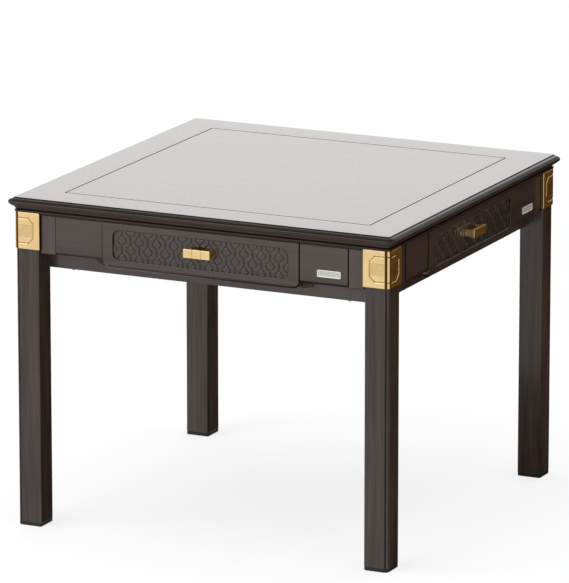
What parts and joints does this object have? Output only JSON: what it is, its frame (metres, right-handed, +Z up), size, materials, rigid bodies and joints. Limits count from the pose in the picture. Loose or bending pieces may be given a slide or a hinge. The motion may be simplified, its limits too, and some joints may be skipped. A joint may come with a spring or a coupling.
{
  "type": "mahjong table with drawers",
  "caption": "Square automatic mahjong table with a lift-off dining cover, brass corner caps and a shallow carved-front drawer in each side.",
  "frame": {"origin": "on the floor under the middle of the table", "axes": "+Z up, -Y towards the front side, +X towards the right side"},
  "size_m": [0.95, 0.95, 0.76],
  "materials": {
    "dark_wood": "satin lacquer over dark espresso veneer",
    "inner_wood": "plain machined board",
    "brass": "satin, lacquered",
    "plate_metal": "brushed, champagne anodised",
    "foot_rubber": "matte",
    "pan_steel": "black powder coat",
    "screw_steel": "zinc plated",
    "deck_board": "plain board",
    "deck_cloth": "napped playing cloth",
    "console_plastic": "fine moulded texture",
    "key_plastic": "gloss",
    "clear_plastic": "clear, polished",
    "dice_plastic": "ivory, polished",
    "drum_plastic": "moulded",
    "guide_plastic": "moulded acetal",
    "motor_steel": "turned",
    "wheel_rubber": "matte",
    "circuit": "solder mask",
    "supply_metal": "folded sheet",
    "inlet_plastic": "moulded",
    "rocker_plastic": "gloss red"
  },
  "bodies": {
    "root": {"leg_front_right": "dark_wood", "corner_cap_front_right": "brass", "leg_back_right": "dark_wood", "corner_cap_back_right": "brass", "leg_back_left": "dark_wood", "corner_cap_back_left": "brass", "leg_front_left": "dark_wood", "corner_cap_front_left": "brass", "foot_pads": "foot_rubber", "top_rim": "dark_wood", "apron_boards": "dark_wood", "apron_posts": "dark_wood", "apron_panels_front": "dark_wood", "apron_panels_right": "dark_wood", "apron_panels_back": "dark_wood", "apron_panels_left": "dark_wood", "side_plates": "plate_metal", "lower_rails": "dark_wood", "corner_blocks": "inner_wood", "base_pan": "pan_steel", "pan_screws": "screw_steel", "drawer_runners": "inner_wood", "deck_board": "deck_board", "deck_cloth": "deck_cloth", "deck_cleats": "inner_wood", "lift_guides": "guide_plastic", "lift_motors": "motor_steel", "console_mast": "motor_steel", "drive_motor": "motor_steel", "control_board": "circuit", "power_supply": "supply_metal", "mains_inlet": "inlet_plastic"},
    "drawer_front": {"drawer_front_front": "dark_wood", "drawer_tray_front": "inner_wood", "drawer_pull_front": "brass"},
    "drawer_right": {"drawer_front_right": "dark_wood", "drawer_tray_right": "inner_wood", "drawer_pull_right": "brass"},
    "drawer_back": {"drawer_front_back": "dark_wood", "drawer_tray_back": "inner_wood", "drawer_pull_back": "brass"},
    "drawer_left": {"drawer_front_left": "dark_wood", "drawer_tray_left": "inner_wood", "drawer_pull_left": "brass"},
    "cover": {"dining_cover": "dark_wood", "cover_cleats": "dark_wood"},
    "console": {"console": "console_plastic", "dice_dome": "clear_plastic", "dice": "dice_plastic"},
    "key_front": {"console_key_front": "key_plastic"},
    "key_right": {"console_key_right": "key_plastic"},
    "key_back": {"console_key_back": "key_plastic"},
    "key_left": {"console_key_left": "key_plastic"},
    "lift_front": {"tile_lift_front": "console_plastic"},
    "lift_right": {"tile_lift_right": "console_plastic"},
    "lift_back": {"tile_lift_back": "console_plastic"},
    "lift_left": {"tile_lift_left": "console_plastic"},
    "drum": {"shuffling_drum": "drum_plastic"},
    "wheel": {"drive_wheel": "wheel_rubber"},
    "rocker": {"power_rocker": "rocker_plastic"}
  },
  "joints": [
    {"name": "drawer_front_slide", "type": "slide", "parent": "root", "child": "drawer_front", "axis": [0, -1, 0], "range_m": [0, 0.1]},
    {"name": "drawer_right_slide", "type": "slide", "parent": "root", "child": "drawer_right", "axis": [1, 0, 0], "range_m": [0, 0.1]},
    {"name": "drawer_back_slide", "type": "slide", "parent": "root", "child": "drawer_back", "axis": [0, 1, 0], "range_m": [0, 0.1]},
    {"name": "drawer_left_slide", "type": "slide", "parent": "root", "child": "drawer_left", "axis": [-1, 0, 0], "range_m": [0, 0.1]},
    {"name": "cover_lift", "type": "slide", "parent": "root", "child": "cover", "axis": [0, 0, 1], "range_m": [0, 0.3]},
    {"name": "console_rise", "type": "slide", "parent": "root", "child": "console", "axis": [0, 0, 1], "range_m": [0, 0.045]},
    {"name": "key_front_press", "type": "slide", "parent": "console", "child": "key_front", "axis": [0, 0, 1], "range_m": [-0.0018, 0], "stiffness_N_per_m": 400, "springref_m": 0.002},
    {"name": "key_right_press", "type": "slide", "parent": "console", "child": "key_right", "axis": [0, 0, 1], "range_m": [-0.0018, 0], "stiffness_N_per_m": 400, "springref_m": 0.002},
    {"name": "key_back_press", "type": "slide", "parent": "console", "child": "key_back", "axis": [0, 0, 1], "range_m": [-0.0018, 0], "stiffness_N_per_m": 400, "springref_m": 0.002},
    {"name": "key_left_press", "type": "slide", "parent": "console", "child": "key_left", "axis": [0, 0, 1], "range_m": [-0.0018, 0], "stiffness_N_per_m": 400, "springref_m": 0.002},
    {"name": "lift_front_drop", "type": "slide", "parent": "root", "child": "lift_front", "axis": [0, 0, 1], "range_m": [-0.045, 0]},
    {"name": "lift_right_drop", "type": "slide", "parent": "root", "child": "lift_right", "axis": [0, 0, 1], "range_m": [-0.045, 0]},
    {"name": "lift_back_drop", "type": "slide", "parent": "root", "child": "lift_back", "axis": [0, 0, 1], "range_m": [-0.045, 0]},
    {"name": "lift_left_drop", "type": "slide", "parent": "root", "child": "lift_left", "axis": [0, 0, 1], "range_m": [-0.045, 0]},
    {"name": "drum_spin", "type": "hinge", "parent": "root", "child": "drum", "pos_m": [0, 0, 0.64], "axis": [0, 0, 1], "continuous": true},
    {"name": "wheel_spin", "type": "hinge", "parent": "root", "child": "wheel", "pos_m": [0.17133, -0.17133, 0.62], "axis": [0, 0, 1], "continuous": true},
    {"name": "rocker_tilt", "type": "hinge", "parent": "root", "child": "rocker", "pos_m": [-0.3138, 0.33, 0.596], "axis": [0, 1, 0], "range_deg": [-8, 8]}
  ],
  "couplings": [
    {"joint": "console_rise", "follows": "cover_lift", "ratio": 0.15},
    {"joint": "wheel_spin", "follows": "drum_spin", "ratio": -11.1},
    {"joint": "lift_right_drop", "follows": "lift_front_drop", "ratio": 1},
    {"joint": "lift_back_drop", "follows": "lift_front_drop", "ratio": 1},
    {"joint": "lift_left_drop", "follows": "lift_front_drop", "ratio": 1}
  ]
}
